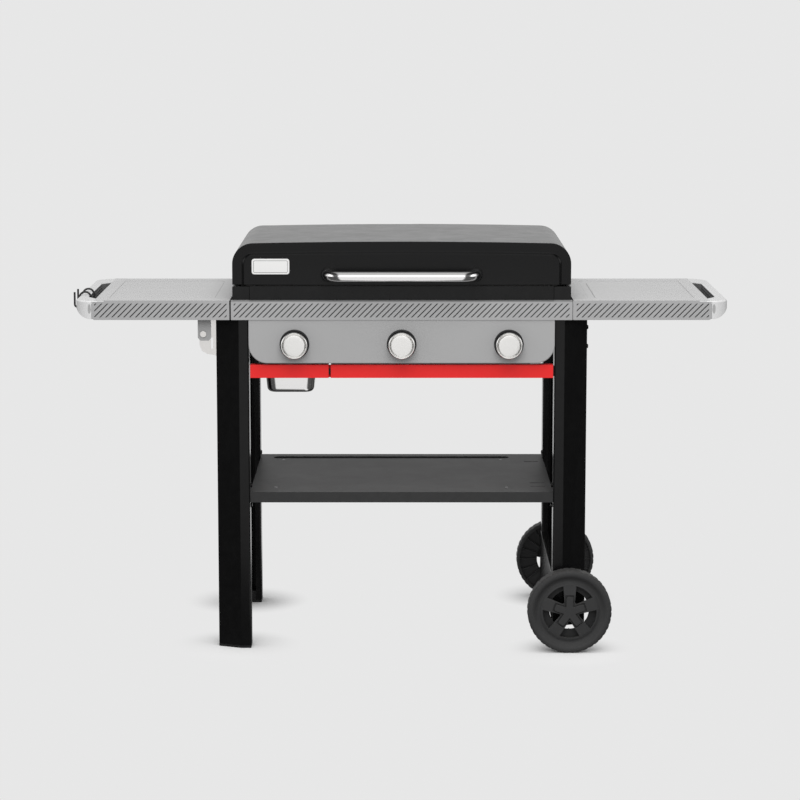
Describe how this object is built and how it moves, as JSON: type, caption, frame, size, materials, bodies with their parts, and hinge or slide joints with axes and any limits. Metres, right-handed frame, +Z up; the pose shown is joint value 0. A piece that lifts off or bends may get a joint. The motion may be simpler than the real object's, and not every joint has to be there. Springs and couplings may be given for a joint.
{
  "type": "outdoor gas griddle station",
  "caption": "Freestanding gas griddle cart with a hinged low lid, control knobs, a folding left table, a fixed right table, a grease drawer, a bottom shelf and wheels at one end.",
  "frame": {"origin": "on the floor, under the middle of the cart", "axes": "+X to the right seen from the front, +Y to the back, +Z up; the front faces -Y"},
  "size_m": [1.5792, 0.6615, 0.9934],
  "materials": {
    "black_enamel": "semi-gloss black porcelain enamel",
    "black_powder": "fine-textured black powder coat",
    "shelf_powder": "satin charcoal powder coat",
    "grey_powder": "satin light grey powder coat",
    "band_powder": "satin grey powder coat, hatched",
    "red_powder": "satin signal red powder coat",
    "cap_plastic": "fine-grained light grey moulding",
    "black_plastic": "fine-grained black moulding",
    "wheel_plastic": "satin black moulding",
    "rolled_steel": "oiled, seasoned rolled carbon steel",
    "stainless": "brushed stainless steel",
    "zinc": "bright zinc plating",
    "galvanised": "galvanised sheet",
    "manifold_aluminium": "drawn aluminium tube",
    "valve_brass": "turned brass",
    "spark_ceramic": "glazed white ceramic sleeve",
    "knob_silver": "bright silver painted face",
    "bezel_black": "gloss black ring",
    "bumper_rubber": "moulded black rubber"
  },
  "bodies": {
    "cart": {"accessory_rail": "red_powder", "axle": "zinc", "axle_panel": "black_powder", "control_panel": "grey_powder", "cookbox": "black_enamel", "cookbox_corner_sheets": "black_enamel", "drawer_runners": "black_powder", "fold_brackets": "zinc", "frame_bolts": "black_powder", "front_fascia": "black_enamel", "gas_manifold": "manifold_aluminium", "gas_valves": "valve_brass", "grease_chute": "galvanised", "griddle_plate": "rolled_steel", "heat_shield": "galvanised", "igniter_electrodes": "spark_ceramic", "knob_bezels": "bezel_black", "leg_end_plugs": "black_plastic", "leg_front_left": "black_powder", "leg_front_right": "black_powder", "leg_rear_left": "black_powder", "leg_rear_right": "black_powder", "lid_bumpers": "bumper_rubber", "lid_hinge_brackets": "black_powder", "pivot_pins": "zinc", "rear_rail": "black_powder", "shelf": "shelf_powder", "side_rail_left": "black_powder", "side_rail_right": "black_powder", "table_right_bearers": "grey_powder", "table_right_end_cap": "cap_plastic", "table_right_top": "grey_powder", "trim_band_centre": "band_powder", "trim_band_right": "band_powder", "tube_burners": "stainless"},
    "lid": {"lid_skin": "black_enamel", "lid_front_panel": "black_enamel", "lid_rear_panel": "black_enamel", "lid_handle": "stainless", "handle_ferrules": "black_plastic", "lid_hinge_arms": "black_powder"},
    "left_table": {"table_left_top": "grey_powder", "table_left_end_cap": "cap_plastic", "table_left_bearers": "grey_powder", "trim_band_left": "band_powder"},
    "front_hook": {"tool_hook_front": "black_powder"},
    "rear_hook": {"tool_hook_rear": "black_powder"},
    "stem_left": {"valve_stem_left": "valve_brass"},
    "stem_centre": {"valve_stem_centre": "valve_brass"},
    "stem_right": {"valve_stem_right": "valve_brass"},
    "knob_left": {"knob_left": "knob_silver"},
    "knob_centre": {"knob_centre": "knob_silver"},
    "knob_right": {"knob_right": "knob_silver"},
    "front_wheel": {"wheel_front": "wheel_plastic", "wheel_front_hub_cap": "wheel_plastic"},
    "rear_wheel": {"wheel_rear": "wheel_plastic", "wheel_rear_hub_cap": "wheel_plastic"},
    "grease_drawer": {"drawer_front": "red_powder", "drawer_tray": "galvanised", "drip_cup": "stainless"}
  },
  "joints": [
    {"name": "lid_hinge", "type": "hinge", "parent": "cart", "child": "lid", "pos_m": [0, 0.233, 0.893], "axis": [-1, 0, 0], "range_deg": [0, 90]},
    {"name": "left_table_fold", "type": "hinge", "parent": "cart", "child": "left_table", "pos_m": [-0.477, 0, 0.769], "axis": [0, -1, 0], "range_deg": [0, 90]},
    {"name": "front_hook_slide", "type": "slide", "parent": "left_table", "child": "front_hook", "axis": [0, 1, 0], "range_m": [-0.03, 0.03]},
    {"name": "rear_hook_slide", "type": "slide", "parent": "left_table", "child": "rear_hook", "axis": [0, 1, 0], "range_m": [-0.03, 0.18]},
    {"name": "knob_left_turn", "type": "hinge", "parent": "cart", "child": "stem_left", "pos_m": [-0.2565, -0.28, 0.7485], "axis": [0, -1, 0], "range_deg": [0, 225]},
    {"name": "knob_left_push", "type": "slide", "parent": "stem_left", "child": "knob_left", "axis": [0, 1, 0], "range_m": [0, 0.0035], "stiffness_N_per_m": 600},
    {"name": "knob_centre_turn", "type": "hinge", "parent": "cart", "child": "stem_centre", "pos_m": [0, -0.28, 0.7485], "axis": [0, -1, 0], "range_deg": [0, 225]},
    {"name": "knob_centre_push", "type": "slide", "parent": "stem_centre", "child": "knob_centre", "axis": [0, 1, 0], "range_m": [0, 0.0035], "stiffness_N_per_m": 600},
    {"name": "knob_right_turn", "type": "hinge", "parent": "cart", "child": "stem_right", "pos_m": [0.2565, -0.28, 0.7485], "axis": [0, -1, 0], "range_deg": [0, 225]},
    {"name": "knob_right_push", "type": "slide", "parent": "stem_right", "child": "knob_right", "axis": [0, 1, 0], "range_m": [0, 0.0035], "stiffness_N_per_m": 600},
    {"name": "front_wheel_spin", "type": "hinge", "parent": "cart", "child": "front_wheel", "pos_m": [0.406, -0.305, 0.1016], "axis": [0, 1, 0], "continuous": true},
    {"name": "rear_wheel_spin", "type": "hinge", "parent": "cart", "child": "rear_wheel", "pos_m": [0.406, 0.305, 0.1016], "axis": [0, 1, 0], "continuous": true},
    {"name": "grease_drawer_slide", "type": "slide", "parent": "cart", "child": "grease_drawer", "axis": [0, -1, 0], "range_m": [0, 0.19]}
  ]
}
